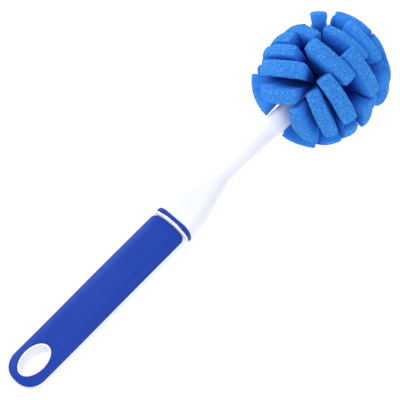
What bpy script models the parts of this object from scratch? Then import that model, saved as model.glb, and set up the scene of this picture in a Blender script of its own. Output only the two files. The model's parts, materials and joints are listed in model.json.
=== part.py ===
"""Sponge brush: a ball of die-cut foam discs on a long white handle with a blue soft-touch grip.

Units are metres, +Z up. The brush lies on a surface as it is put down after use: the ball and the
tail of the handle touch the surface, so the axis of the brush slopes down towards the tail.

Each piece is drawn round the brush axis in the axis frame: the origin is the centre of the ball, +X
points out of the far end of the ball, +Z is the upper side of the grip. Distances along the axis are
counted from the ball's centre towards the tail and called reaches, so a reach lies at x = -reach.
"""

import math
import random

import bmesh
import bpy
from mathutils import Matrix, Vector

# Clearances
FIT_GAP = 0.0003
CUT_OVERRUN = 0.002

# Foam ball
BALL_RADIUS = 0.040
DISC_COUNT = 8
FINS_PER_DISC = 5
FAN_PITCH = 17.0
HUB_THICKNESS = 0.0027
HUB_RADIUS = 0.0085
HUB_PITCH = HUB_THICKNESS + FIT_GAP
FAN_CLEARANCE = 0.0014
FOAM_THICKNESS = 2 * (BALL_RADIUS * math.sin(math.radians(FAN_PITCH / 2)) - FAN_CLEARANCE)
FAN_CENTRE_LEAN = -4.0
FIN_HALF_ANGLE = 24.0
ROOT_HALF_ANGLE = 33.0
CROWD_HALF_ANGLE = 26.0
FULL_THICKNESS_SHARE = 0.95
FIN_ROW_SHARES = (0.0, 0.25, 0.5, 0.85, 1.0)
FIN_COLUMNS = 6

# Handle body
GRIP_LENGTH = 0.1246
GRIP_WIDTH = 0.0243
GRIP_THICKNESS = 0.0145
GRIP_CORNER = 0.0050
TAIL_LENGTH = 0.0115
TAIL_THICKNESS = 0.0124
TAPER_LENGTH = 0.0600
COLLAR_LENGTH = 0.0013
PARTING_HEIGHT = 0.0028

# Grip pad
PAD_MARGIN = 0.0003
PAD_CORNER = 0.0036
PAD_BORDER = 0.0043
PAD_SIDE_HEIGHT = 0.0010
PLATEAU_RISE = 0.0004
PLATEAU_EDGE = 0.0003
PLATEAU_CROWN = 0.0002
PLATEAU_CROWN_INSET = 0.0030
SPINE_WIDTH = 0.0160
SPINE_HEIGHT = 0.0026
SPINE_MARGIN = 0.0040
SPINE_BEVEL = 0.0012

# Hanging hole
HOLE_LENGTH = 0.0198
HOLE_WIDTH = 0.0122
HOLE_CENTRE_FROM_TAIL = 0.0154
RIM_WALL = 0.0011
RIM_PROUD = 0.0003

# Ring band
RING_WIDTH = 0.0023
RING_PROUD = 0.0002
RING_EDGE = 0.0003

# Neck
NECK_REACH = 0.1223
WAIST_REACH = 0.0799
WAIST_DIAMETER = 0.0087
STEM_DIAMETER = 0.0126
FLANGE_DIAMETER = 0.0164
FLANGE_THICKNESS = 0.0016
SPIGOT_WIDTH = 0.0130
SPIGOT_THICKNESS = 0.0056
SPIGOT_COVER = 0.0010
SPIGOT_LENGTH = 0.0180
SPIGOT_CORNER = 0.0015
SPINDLE_DIAMETER = 0.0070

# End plug
PLUG_HEAD_DIAMETER = 0.0160
PLUG_HEAD_THICKNESS = 0.0030
PLUG_HEAD_BEVEL = 0.0010
PLUG_SHANK_DIAMETER = 0.0034
PLUG_SHANK_LENGTH = 0.0120

# Where things lie along the axis, worked out from the sizes above
STACK_HALF = (DISC_COUNT * HUB_PITCH - FIT_GAP) / 2
FLANGE_REACH = STACK_HALF + FIT_GAP
STEM_REACH = FLANGE_REACH + FLANGE_THICKNESS
RING_REACH = NECK_REACH + FIT_GAP
COLLAR_REACH = RING_REACH + RING_WIDTH + FIT_GAP
DECK_REACH = COLLAR_REACH + COLLAR_LENGTH
PAD_REACH = DECK_REACH + FIT_GAP
TAIL_REACH = COLLAR_REACH + GRIP_LENGTH
HOLE_REACH = TAIL_REACH - HOLE_CENTRE_FROM_TAIL
RIM_REACH = HOLE_REACH - HOLE_LENGTH / 2 - RIM_WALL
HALF_WIDTH = GRIP_WIDTH / 2
HALF_THICKNESS = GRIP_THICKNESS / 2
PAD_TOP = HALF_THICKNESS - PLATEAU_RISE
SPINE_TOP = PARTING_HEIGHT + SPINE_HEIGHT
SPIGOT_MIDDLE = PARTING_HEIGHT - SPIGOT_COVER - FIT_GAP - SPIGOT_THICKNESS / 2

# Neck widths: place from the waist to the ring, and width from the waist's to the grip's
SHOULDER_SHARES = (
    (0.00, 0.00), (0.12, 0.06), (0.23, 0.23), (0.39, 0.45), (0.53, 0.70), (0.66, 0.85),
    (0.76, 0.93), (0.88, 0.98), (1.00, 1.00),
)

# Stem widths: place from the waist to the ball's surface, and width from the waist's to the stem's
STEM_SHARES = ((0.95, 0.95), (0.84, 0.52), (0.72, 0.37), (0.50, 0.28), (0.30, 0.10), (0.10, 0.08))

# Places along the straight side of the grip, where its outline has a point
SIDE_SHARES = (0.0, 0.2, 0.4, 0.5, 0.58, 0.66, 0.74, 0.82, 0.91, 1.0)
TAIL_FULLNESS_SHARE = 0.85

# Turn of each disc's first fin round the axis, in degrees from the top towards the -Y side
DISC_TURNS = (-80, -18, -28, 16, 40, 14, 25, -4)

# How far the two ends of a disc's fins bend back along its lean, where 0 keeps a fin flat
DISC_CUP_SHARES = (-0.45, 0.1, 0.6, 0.6, 0.6, 0.6, 0.6, 0.6)

# Fins that don't stand as the others do. The key is the disc and the fin. The values are the lean
# away from the disc's own, as a share of the fan's pitch, the turn away from the fin's own place and
# the twist, both in degrees, and the reach, width and thickness as shares of a full fin's.
FIN_POSE_SHARES = {
    (0, 0): (0.21, -6, 75, 1.00, 0.87, 0.78),
    (0, 1): (0.15, 0, -24, 1.00, 0.80, 0.90),
    (0, 2): (0.47, -3, 0, 1.00, 0.84, 0.82),
    (0, 3): (0.25, 7, 45, 1.00, 0.60, 0.90),
    (0, 4): (0.10, -9, 0, 0.96, 0.42, 0.90),
    (1, 0): (-0.23, -2, -19, 0.98, 1.00, 1.00),
    (1, 1): (0.08, 0, 6, 0.98, 1.00, 0.90),
    (1, 2): (-0.10, 4, 0, 0.96, 0.85, 0.90),
    (1, 3): (0.00, -12, 0, 0.98, 0.85, 1.00),
    (1, 4): (-0.42, -17, 0, 0.93, 0.66, 0.54),
    (2, 0): (-0.03, -6, -15, 0.96, 0.83, 0.74),
    (2, 1): (-0.10, 3, 3, 1.00, 1.00, 1.00),
    (2, 2): (-0.10, -2, 0, 0.92, 0.95, 0.90),
    (2, 4): (-0.10, -3, 0, 0.89, 0.92, 0.78),
    (3, 0): (-0.10, 0, -2, 0.98, 1.00, 1.00),
    (3, 1): (-0.22, 2, 2, 0.92, 0.78, 0.75),
    (3, 4): (0.01, -1, -2, 0.87, 1.00, 0.85),
    (4, 0): (-0.10, 5, 3, 0.95, 1.00, 1.00),
    (4, 1): (-0.10, -12, 0, 0.86, 0.85, 0.90),
    (4, 3): (0.00, 0, 0, 0.85, 0.95, 0.95),
    (4, 4): (0.11, -6, 0, 0.85, 1.00, 0.85),
    (5, 0): (0.13, -2, -8, 0.90, 1.00, 0.74),
    (5, 1): (-0.10, 12, 5, 0.98, 1.00, 0.80),
    (5, 4): (0.15, -15, 20, 0.82, 0.60, 0.60),
    (6, 0): (0.19, 0, 7, 0.96, 0.92, 0.82),
    (6, 4): (0.50, -2, 30, 0.96, 0.72, 0.95),
    (7, 0): (0.10, -11, -8, 0.99, 0.72, 0.80),
    (7, 1): (0.12, -3, 6, 0.99, 0.60, 0.80),
    (7, 3): (0.00, -3, 0, 0.97, 0.42, 0.90),
    (7, 4): (0.00, -10, 0, 0.98, 0.42, 0.90),
}

# How far the other fins stray from their own place
STRAY_LEAN_SHARE = 0.03
STRAY_TURN = 2.0
STRAY_TWIST = 2.0
STRAY_REACH_SHARE = 0.03
STRAY_SEED = 11

# Colour, roughness and metallic value of each material
WHITE_PLASTIC = ((0.86, 0.87, 0.90, 1.0), 0.32, 0.0)
BLUE_RUBBER = ((0.012, 0.045, 0.42, 1.0), 0.45, 0.0)
BLUE_FOAM = ((0.055, 0.24, 0.83, 1.0), 0.95, 0.0)
SHARP_ANGLE = 35

# Steps of a quarter turn: round a section, round an edge of the grip, and round its tail
SECTION_STEPS = 6
EDGE_STEPS = 5
TAIL_STEPS = 8

# Rounds of tilting until the ball and the tail both touch the surface
LAYING_STEPS = 4


def clear_scene():
    """Remove every object that the file holds, so that the model stands alone."""
    for thing in list(bpy.data.objects):
        bpy.data.objects.remove(thing, do_unlink=True)


def make_material(name, look):
    """Make a Principled material from a colour, a roughness and a metallic value."""
    colour, roughness, metallic = look
    made = bpy.data.materials.new(name)
    made.use_nodes = True
    shader = made.node_tree.nodes["Principled BSDF"]
    shader.inputs["Base Color"].default_value = colour
    shader.inputs["Roughness"].default_value = roughness
    shader.inputs["Metallic"].default_value = metallic
    made.diffuse_color = colour
    return made


def make_object(name, builder, axis_frame, look=None):
    """Turn a bmesh into a named object in the axis frame. One without a look is a cutter."""
    bmesh.ops.recalc_face_normals(builder, faces=builder.faces)
    mesh = bpy.data.meshes.new(name)
    builder.to_mesh(mesh)
    builder.free()
    mesh.shade_smooth()
    mesh.set_sharp_from_angle(angle=math.radians(SHARP_ANGLE))
    made = bpy.data.objects.new(name, mesh)
    bpy.context.collection.objects.link(made)
    made.parent = axis_frame
    if look:
        mesh.materials.append(make_material(name + "_material", look))
    else:
        made.hide_render = True
        made.display_type = "WIRE"
    return made


def combine(target, other, operation):
    """Join a hidden guide to a piece, or cut it out of the piece."""
    step = target.modifiers.new(other.name, "BOOLEAN")
    step.operation = operation
    step.solver = "EXACT"
    step.object = other


def skin(builder, rows, wrap_rows=False):
    """Fill the bands between rings of vertices, which all have the same count."""
    pairs = list(zip(rows, rows[1:]))
    if wrap_rows:
        pairs.append((rows[-1], rows[0]))
    for lower, upper in pairs:
        for place, corner in enumerate(lower):
            after = (place + 1) % len(lower)
            builder.faces.new((corner, lower[after], upper[after], upper[place]))


def ladder_cap(builder, row):
    """Fill a ring whose two halves mirror each other with rungs from side to side."""
    count = len(row)
    left = list(reversed(row))
    for place in range(count // 2 - 1):
        builder.faces.new((row[place], row[place + 1], left[place + 1], left[place]))
    if count % 2:
        middle = count // 2
        builder.faces.new((row[middle - 1], row[middle], row[middle + 1]))


def loft(rings, cap=None):
    """Skin rings of points and close both ends, with flat faces or with rungs."""
    builder = bmesh.new()
    rows = [[builder.verts.new(point) for point in ring] for ring in rings]
    skin(builder, rows)
    for row in (rows[0], rows[-1]):
        if cap:
            cap(builder, row)
        else:
            builder.faces.new(row)
    return builder


def tube(rings):
    """Skin rings of points, and join the last ring to the first."""
    builder = bmesh.new()
    rows = [[builder.verts.new(point) for point in ring] for ring in rings]
    skin(builder, rows, wrap_rows=True)
    return builder


def blend(first, second, share):
    """A value or vector between two others."""
    return first + (second - first) * share


def smooth_step(share):
    """An S-shaped ramp from 0 to 1."""
    share = min(max(share, 0.0), 1.0)
    return share * share * (3 - 2 * share)


def section_ring(reach, half_width, half_thickness, corner):
    """Points round a cross-section of the brush at one reach: a box with round corners."""
    corner = min(corner, half_width, half_thickness)
    points = []
    for side, up, start in ((1, 1, 0), (-1, 1, 90), (-1, -1, 180), (1, -1, 270)):
        for step in range(SECTION_STEPS):
            angle = math.radians(start + 90 * (step + 0.5) / SECTION_STEPS)
            across = side * (half_width - corner) + corner * math.cos(angle)
            height = up * (half_thickness - corner) + corner * math.sin(angle)
            points.append(Vector((-reach, across, height)))
    return points


def round_ring(reach, diameter):
    """Points round a circle at one reach."""
    radius = diameter / 2
    return section_ring(reach, radius, radius, radius)


def ellipse_ring(centre_reach, length, width, height, steps=40):
    """Points round a level ellipse that lies along the brush."""
    points = []
    for step in range(steps):
        angle = math.tau * step / steps
        along = length / 2 * math.cos(angle) - centre_reach
        points.append(Vector((along, width / 2 * math.sin(angle), height)))
    return points


def upper_scale(reach):
    """How high the upper side of the grip stands at a reach, as a share of its full height."""
    tail_share = (TAIL_THICKNESS - HALF_THICKNESS) / HALF_THICKNESS
    gone = smooth_step((reach - (RIM_REACH - TAPER_LENGTH)) / TAPER_LENGTH)
    return blend(1, tail_share, gone)


def grip_height(height, reach):
    """A height in the full grip, brought down where the upper side tapers to the tail."""
    return height * upper_scale(reach) if height > 0 else height


def grip_outline(height, inset, front_reach, front_corner=0.0, lift=0.0, rise=0.0):
    """Points round the grip seen from above, at one height and drawn in by an inset.

    The lift is the same all along. The rise is the plateau's, and fades out before the hole.
    """
    half = HALF_WIDTH - inset
    round_reach = TAIL_REACH - TAIL_LENGTH
    tail = TAIL_LENGTH - inset
    straight_reach = front_reach + front_corner
    right = []
    if front_corner:
        for step in range(EDGE_STEPS):
            angle = math.radians(90 * step / EDGE_STEPS)
            right.append((straight_reach - front_corner * math.cos(angle),
                          half - front_corner + front_corner * math.sin(angle)))
    for share in SIDE_SHARES:
        right.append((blend(straight_reach, round_reach, share), half))
    for step in range(1, TAIL_STEPS):
        angle = math.radians(90 * step / TAIL_STEPS)
        right.append((round_reach + tail * math.sin(angle),
                      half * math.cos(angle) ** TAIL_FULLNESS_SHARE))
    left = [(reach, -across) for reach, across in reversed(right)]
    ring = []
    for reach, across in right + [(round_reach + tail, 0.0)] + left:
        fade = 1 - smooth_step((reach - (RIM_REACH - TAPER_LENGTH)) / (TAPER_LENGTH / 2))
        ring.append(Vector((-reach, across, grip_height(height, reach) + lift + rise * fade)))
    return ring


def keel(name, start, end, half_width, top, clearance, axis_frame):
    """The bar that keys the pad to the handle, or with a clearance the pocket that it fills."""
    half = half_width + clearance
    rings = []
    for share in SIDE_SHARES:
        reach = blend(start - clearance, end + clearance, share)
        high = grip_height(top, reach) + clearance
        outline = ((-half, 0.0), (half, 0.0), (half, high - SPINE_BEVEL), (half - SPINE_BEVEL, high),
                   (SPINE_BEVEL - half, high), (-half, high - SPINE_BEVEL))
        rings.append([Vector((-reach, across, height)) for across, height in outline])
    return make_object(name, loft(rings), axis_frame)


def oval(name, length, width, low, high, axis_frame):
    """An upright oval column centred on the hanging hole."""
    rings = [ellipse_ring(HOLE_REACH, length, width, height) for height in (low, high)]
    return make_object(name, loft(rings), axis_frame)


def spine_ends():
    """The reaches at which the spine starts and ends."""
    return PAD_REACH + SPINE_MARGIN, RIM_REACH - SPINE_MARGIN


def rim_top():
    """The height of the white rim's top round the hanging hole."""
    return grip_height(PAD_TOP, RIM_REACH) + RIM_PROUD


def make_handle_core(axis_frame):
    """The white body of the handle: full section at its collar, a deck under the pad behind it."""
    rings = []
    for upward in (-1, 1):
        for step in range(EDGE_STEPS + 1):
            out = step if upward < 0 else EDGE_STEPS - step
            angle = math.radians(90 * out / EDGE_STEPS)
            height = upward * (HALF_THICKNESS - GRIP_CORNER + GRIP_CORNER * math.cos(angle))
            inset = GRIP_CORNER * (1 - math.sin(angle))
            rings.append(grip_outline(height, inset, COLLAR_REACH))
    core = make_object("handle_core", loft(rings, ladder_cap), axis_frame, WHITE_PLASTIC)

    deck_rings = []
    for share in SIDE_SHARES:
        reach = blend(DECK_REACH, TAIL_REACH + CUT_OVERRUN, share)
        low = grip_height(PARTING_HEIGHT, reach)
        high = HALF_THICKNESS + CUT_OVERRUN
        wide = HALF_WIDTH + CUT_OVERRUN
        corners = ((-wide, low), (wide, low), (wide, high), (-wide, high))
        deck_rings.append([Vector((-reach, across, height)) for across, height in corners])
    deck_cutter = make_object("deck_cutter", loft(deck_rings), axis_frame)
    combine(core, deck_cutter, "DIFFERENCE")

    start, end = spine_ends()
    spine = keel("spine_guide", start, end, SPINE_WIDTH / 2, SPINE_TOP, 0.0, axis_frame)
    combine(core, spine, "UNION")
    rim = oval("rim_guide", HOLE_LENGTH + 2 * RIM_WALL, HOLE_WIDTH + 2 * RIM_WALL, 0.0, rim_top(),
               axis_frame)
    combine(core, rim, "UNION")
    hole = oval("hole_cutter", HOLE_LENGTH, HOLE_WIDTH, -HALF_THICKNESS - CUT_OVERRUN,
                HALF_THICKNESS + CUT_OVERRUN, axis_frame)
    combine(core, hole, "DIFFERENCE")
    socket_rings = [spigot_ring(COLLAR_REACH - CUT_OVERRUN, FIT_GAP),
                    spigot_ring(NECK_REACH + SPIGOT_LENGTH + FIT_GAP, FIT_GAP)]
    socket = make_object("socket_cutter", loft(socket_rings), axis_frame)
    combine(core, socket, "DIFFERENCE")
    return core


def make_grip_pad(axis_frame):
    """The blue pad: a sloped border all round and a raised plateau that fades towards the hole."""
    side_top = PARTING_HEIGHT + PAD_SIDE_HEIGHT
    rings = [grip_outline(PARTING_HEIGHT, PAD_MARGIN, PAD_REACH, PAD_CORNER, lift=FIT_GAP)]
    for step in range(EDGE_STEPS + 1):
        angle = math.radians(90 * step / EDGE_STEPS)
        inset = PAD_BORDER * (1 - math.cos(angle))
        height = blend(side_top, PAD_TOP, math.sin(angle))
        rings.append(grip_outline(height, PAD_MARGIN + inset, PAD_REACH + inset, PAD_CORNER))
    for inset, rise in ((PAD_BORDER + PLATEAU_EDGE, PLATEAU_RISE),
                        (PAD_BORDER + PLATEAU_CROWN_INSET, PLATEAU_RISE + PLATEAU_CROWN)):
        rings.append(grip_outline(PAD_TOP, PAD_MARGIN + inset, PAD_REACH + inset, PAD_CORNER,
                                  rise=rise))
    pad = make_object("grip_pad", loft(rings, ladder_cap), axis_frame, BLUE_RUBBER)

    start, end = spine_ends()
    pocket = keel("pocket_cutter", start, end, SPINE_WIDTH / 2, SPINE_TOP, FIT_GAP, axis_frame)
    combine(pad, pocket, "DIFFERENCE")
    around = 2 * (RIM_WALL + FIT_GAP)
    clearance = oval("rim_cutter", HOLE_LENGTH + around, HOLE_WIDTH + around, 0.0,
                     HALF_THICKNESS + CUT_OVERRUN, axis_frame)
    combine(pad, clearance, "DIFFERENCE")
    return pad


def spigot_ring(reach, clearance):
    """Points round the spigot, or with a clearance round the socket and bore that hold it."""
    ring = section_ring(reach, SPIGOT_WIDTH / 2 + clearance, SPIGOT_THICKNESS / 2 + clearance,
                        SPIGOT_CORNER + clearance)
    return [point + Vector((0, 0, SPIGOT_MIDDLE)) for point in ring]


def make_ring_band(axis_frame):
    """The thin blue band round the joint between the neck and the handle."""
    far = RING_REACH + RING_WIDTH
    rings = []
    for reach, proud in ((RING_REACH, RING_PROUD - RING_EDGE), (RING_REACH + RING_EDGE, RING_PROUD),
                         (far - RING_EDGE, RING_PROUD), (far, RING_PROUD - RING_EDGE)):
        rings.append(section_ring(reach, HALF_WIDTH + proud, HALF_THICKNESS + proud,
                                  GRIP_CORNER + proud))
    rings.append(spigot_ring(far, FIT_GAP))
    rings.append(spigot_ring(RING_REACH, FIT_GAP))
    return make_object("ring_band", tube(rings), axis_frame, BLUE_RUBBER)


def shoulder_ring(place_share, width_share):
    """Points round the neck's shoulder, which turns from round to the grip's section."""
    reach = blend(WAIST_REACH, NECK_REACH, place_share)
    half_width = blend(WAIST_DIAMETER / 2, HALF_WIDTH, width_share)
    half_thickness = blend(WAIST_DIAMETER / 2, HALF_THICKNESS, width_share)
    corner = blend(half_thickness, GRIP_CORNER, width_share ** 3)
    return section_ring(reach, half_width, half_thickness, corner)


def make_neck_shaft(axis_frame):
    """The white neck in one piece: spindle, flange, stem, waist, shoulder and spigot."""
    rings = [round_ring(FIT_GAP - STACK_HALF, SPINDLE_DIAMETER),
             round_ring(FLANGE_REACH, SPINDLE_DIAMETER),
             round_ring(FLANGE_REACH, FLANGE_DIAMETER),
             round_ring(STEM_REACH, FLANGE_DIAMETER),
             round_ring(STEM_REACH, STEM_DIAMETER)]
    for place_share, width_share in STEM_SHARES:
        rings.append(round_ring(blend(WAIST_REACH, BALL_RADIUS, place_share),
                                blend(WAIST_DIAMETER, STEM_DIAMETER, width_share)))
    for place_share, width_share in SHOULDER_SHARES:
        rings.append(shoulder_ring(place_share, width_share))
    rings.append(spigot_ring(NECK_REACH, 0.0))
    rings.append(spigot_ring(NECK_REACH + SPIGOT_LENGTH, 0.0))
    neck = make_object("neck_shaft", loft(rings), axis_frame, WHITE_PLASTIC)

    bore_diameter = PLUG_SHANK_DIAMETER + 2 * FIT_GAP
    bore_rings = [round_ring(-STACK_HALF - CUT_OVERRUN, bore_diameter),
                  round_ring(PLUG_SHANK_LENGTH - STACK_HALF, bore_diameter)]
    bore = make_object("bore_cutter", loft(bore_rings), axis_frame)
    combine(neck, bore, "DIFFERENCE")
    return neck


def make_end_plug(axis_frame):
    """The white plug whose shank sits in the spindle and whose head holds the discs on."""
    seat = -STACK_HALF - FIT_GAP
    crown = seat - PLUG_HEAD_THICKNESS
    rings = [round_ring(crown, PLUG_HEAD_DIAMETER / 2),
             round_ring(crown + PLUG_HEAD_BEVEL / 3, PLUG_HEAD_DIAMETER - 2 * PLUG_HEAD_BEVEL),
             round_ring(crown + PLUG_HEAD_BEVEL, PLUG_HEAD_DIAMETER),
             round_ring(seat, PLUG_HEAD_DIAMETER),
             round_ring(seat, PLUG_SHANK_DIAMETER),
             round_ring(seat + PLUG_SHANK_LENGTH, PLUG_SHANK_DIAMETER)]
    return make_object("end_plug", loft(rings), axis_frame, WHITE_PLASTIC)


def axis_direction(lean, turn):
    """A direction from the ball's centre, from its lean to the tail and its turn, in degrees."""
    lean = math.radians(lean)
    turn = math.radians(turn)
    return Vector((-math.sin(lean), -math.cos(lean) * math.sin(turn),
                   math.cos(lean) * math.cos(turn)))


def fin_frame(lean, turn, twist):
    """A fin's outward, sideways and tailward directions. A twist lifts its far side to the tail."""
    outward = axis_direction(lean, turn)
    sideways = axis_direction(0.0, turn + 90)
    facing = sideways.cross(outward)
    turning = Matrix.Rotation(math.radians(-twist), 3, outward)
    return outward, turning @ sideways, turning @ facing


def fin_poses(disc):
    """The pose of each fin of a disc: given in the table, or strayed a little from its place."""
    disc_lean = FAN_CENTRE_LEAN + ((DISC_COUNT - 1) / 2 - disc) * FAN_PITCH
    stray = random.Random(STRAY_SEED + disc)
    crowding = math.tan(math.radians(CROWD_HALF_ANGLE)) * math.cos(math.radians(disc_lean))
    width_share = min(1.0, math.degrees(math.atan(crowding)) / FIN_HALF_ANGLE)
    poses = []
    for fin in range(FINS_PER_DISC):
        strayed = (stray.uniform(-STRAY_LEAN_SHARE, STRAY_LEAN_SHARE),
                   stray.uniform(-STRAY_TURN, STRAY_TURN),
                   stray.uniform(-STRAY_TWIST, STRAY_TWIST),
                   1 - stray.uniform(0.0, STRAY_REACH_SHARE), width_share, 1.0)
        lean_share, turn, twist, reach, width, thickness = FIN_POSE_SHARES.get((disc, fin), strayed)
        place = DISC_TURNS[disc % len(DISC_TURNS)] + 360 * fin / FINS_PER_DISC
        poses.append((disc_lean + lean_share * FAN_PITCH, place + turn, twist, reach, width, thickness,
                      DISC_CUP_SHARES[disc % len(DISC_CUP_SHARES)]))
    return poses


def fin_rows(builder, hub_x, root_turn, pose):
    """The vertices of one fin, in rows from its root to its edge, on both of its faces."""
    lean, turn, twist, reach_share, width_share, thickness_share, cup_share = pose
    outward, sideways, facing = fin_frame(lean, turn, twist)
    axis = Vector((-1, 0, 0))
    reach = BALL_RADIUS * reach_share
    half_angle = math.radians(FIN_HALF_ANGLE * width_share)
    cup = facing * math.tan(math.radians(lean)) * cup_share * math.cos(math.radians(twist))
    near_rows = []
    far_rows = []
    for row_share in FIN_ROW_SHARES:
        filled = min(row_share / FULL_THICKNESS_SHARE, 1.0)
        thickness = blend(HUB_THICKNESS, FOAM_THICKNESS * thickness_share, filled)
        face = blend(axis, facing, row_share).normalized()
        near_row = []
        far_row = []
        for column in range(FIN_COLUMNS + 1):
            across = 2 * column / FIN_COLUMNS - 1
            root = axis_direction(0.0, root_turn + across * ROOT_HALF_ANGLE) * HUB_RADIUS
            root.x = hub_x
            angle = across * half_angle
            edge = outward * math.cos(angle) + sideways * math.sin(angle)
            edge = (edge + cup * (1 - math.cos(angle))).normalized()
            middle = blend(root, edge * reach, row_share)
            near_row.append(builder.verts.new(middle + face * (thickness / 2)))
            far_row.append(builder.verts.new(middle - face * (thickness / 2)))
        near_rows.append(near_row)
        far_rows.append(far_row)
    return near_rows, far_rows


def fill_fin(builder, near_rows, far_rows):
    """Fill a fin's two faces, its two sides and its outer edge."""
    for rows in (near_rows, far_rows):
        for inner, outer in zip(rows, rows[1:]):
            for column in range(FIN_COLUMNS):
                builder.faces.new((inner[column], inner[column + 1], outer[column + 1],
                                   outer[column]))
    for column in (0, -1):
        for near, far, near_next, far_next in zip(near_rows, far_rows, near_rows[1:], far_rows[1:]):
            builder.faces.new((near[column], far[column], far_next[column], near_next[column]))
    near, far = near_rows[-1], far_rows[-1]
    for column in range(FIN_COLUMNS):
        builder.faces.new((near[column], near[column + 1], far[column + 1], far[column]))


def make_foam_disc(disc, axis_frame):
    """One die-cut foam disc: a squeezed hub with a bore, and its fins."""
    builder = bmesh.new()
    hub_x = (disc - (DISC_COUNT - 1) / 2) * HUB_PITCH
    near_rim = []
    far_rim = []
    turns = []
    gap_places = []
    for fin, pose in enumerate(fin_poses(disc)):
        root_turn = DISC_TURNS[disc % len(DISC_TURNS)] + 360 * fin / FINS_PER_DISC
        near_rows, far_rows = fin_rows(builder, hub_x, root_turn, pose)
        fill_fin(builder, near_rows, far_rows)
        near_rim += near_rows[0]
        far_rim += far_rows[0]
        gap_places.append(len(near_rim) - 1)
        turns += [root_turn + (2 * column / FIN_COLUMNS - 1) * ROOT_HALF_ANGLE
                  for column in range(FIN_COLUMNS + 1)]
    bore_radius = SPINDLE_DIAMETER / 2 + FIT_GAP
    bores = []
    for side in (-1, 1):
        bore = []
        for turn in turns:
            point = axis_direction(0.0, turn) * bore_radius
            point.x = hub_x + side * HUB_THICKNESS / 2
            bore.append(builder.verts.new(point))
        bores.append(bore)
    skin(builder, [near_rim, bores[0], bores[1], far_rim])
    for place in gap_places:
        after = (place + 1) % len(near_rim)
        builder.faces.new((near_rim[place], near_rim[after], far_rim[after], far_rim[place]))
    return make_object("foam_disc_%d" % (disc + 1), builder, axis_frame, BLUE_FOAM)


def world_corners(pieces):
    """Every corner of some pieces, where the axis frame now puts it."""
    bpy.context.view_layer.update()
    return [piece.matrix_world @ vertex.co for piece in pieces for vertex in piece.data.vertices]


def lay_down(axis_frame, handle_core, discs, others):
    """Lay the brush on its ball and its tail, and centre it over the origin."""
    tail_run = TAIL_REACH - GRIP_CORNER
    slope = math.asin((BALL_RADIUS - HALF_THICKNESS) / tail_run)
    for _ in range(LAYING_STEPS):
        axis_frame.rotation_euler = (0, -slope, 0)
        ball_bottom = min(corner.z for corner in world_corners(discs))
        tail_bottom = min(corner.z for corner in world_corners([handle_core]))
        slope -= math.atan((ball_bottom - tail_bottom) / tail_run)
    corners = world_corners([handle_core] + discs + others)
    ends = [corner.x for corner in corners]
    sides = [corner.y for corner in corners]
    lowest = min(corner.z for corner in corners)
    axis_frame.location = (-(min(ends) + max(ends)) / 2, -(min(sides) + max(sides)) / 2, -lowest)


def main():
    """Build every piece round the axis, and lay the brush down."""
    clear_scene()
    axis_frame = bpy.data.objects.new("brush_axis", None)
    bpy.context.collection.objects.link(axis_frame)
    handle_core = make_handle_core(axis_frame)
    discs = [make_foam_disc(disc, axis_frame) for disc in range(DISC_COUNT)]
    others = [make_grip_pad(axis_frame), make_ring_band(axis_frame), make_neck_shaft(axis_frame),
              make_end_plug(axis_frame)]
    lay_down(axis_frame, handle_core, discs, others)


main()
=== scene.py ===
"""The looks of a sponge brush: foam ball, white neck and body, blue soft-touch pad and ring.

Everything is in metres. Each moulded piece is drawn in the axis frame of the brush, whose origin is
the centre of the ball, whose +X points out of the ball's far end and whose +Z is the upper side of the
grip. A distance from the ball's centre towards the tail is a reach, and lies at x = -reach.
"""

import json
import logging
import math
import random
from abc import ABC, abstractmethod
from dataclasses import dataclass
from enum import Enum

import bmesh
import bpy
import numpy as np
from mathutils import Matrix, Quaternion, Vector, noise


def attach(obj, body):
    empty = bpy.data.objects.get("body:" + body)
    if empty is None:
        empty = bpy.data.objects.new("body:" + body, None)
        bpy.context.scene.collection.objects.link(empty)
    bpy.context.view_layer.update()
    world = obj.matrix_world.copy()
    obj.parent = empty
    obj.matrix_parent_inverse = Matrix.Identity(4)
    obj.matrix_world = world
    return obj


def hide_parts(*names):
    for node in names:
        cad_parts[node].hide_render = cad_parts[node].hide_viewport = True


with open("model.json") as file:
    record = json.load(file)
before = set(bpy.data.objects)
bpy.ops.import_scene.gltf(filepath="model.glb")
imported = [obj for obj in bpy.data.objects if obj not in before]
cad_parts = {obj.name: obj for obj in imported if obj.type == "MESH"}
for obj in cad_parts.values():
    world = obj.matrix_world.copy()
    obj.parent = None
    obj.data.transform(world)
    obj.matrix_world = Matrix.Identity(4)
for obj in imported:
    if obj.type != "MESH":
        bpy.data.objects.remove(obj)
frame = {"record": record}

Triple = tuple[float, float, float]
Span = tuple[float, float]
Ring = list[Vector]
Row = list[bmesh.types.BMVert]
Socket = bpy.types.NodeSocket

LOG = logging.getLogger("sponge_brush")
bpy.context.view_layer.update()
BODY = "root"

# Edges of a moulded piece that bend more than this, in degrees, stay sharp.
SHARP_ANGLE = 32.0

# Points round each corner of a section across the axis.
CORNER_STEPS = 14

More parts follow.
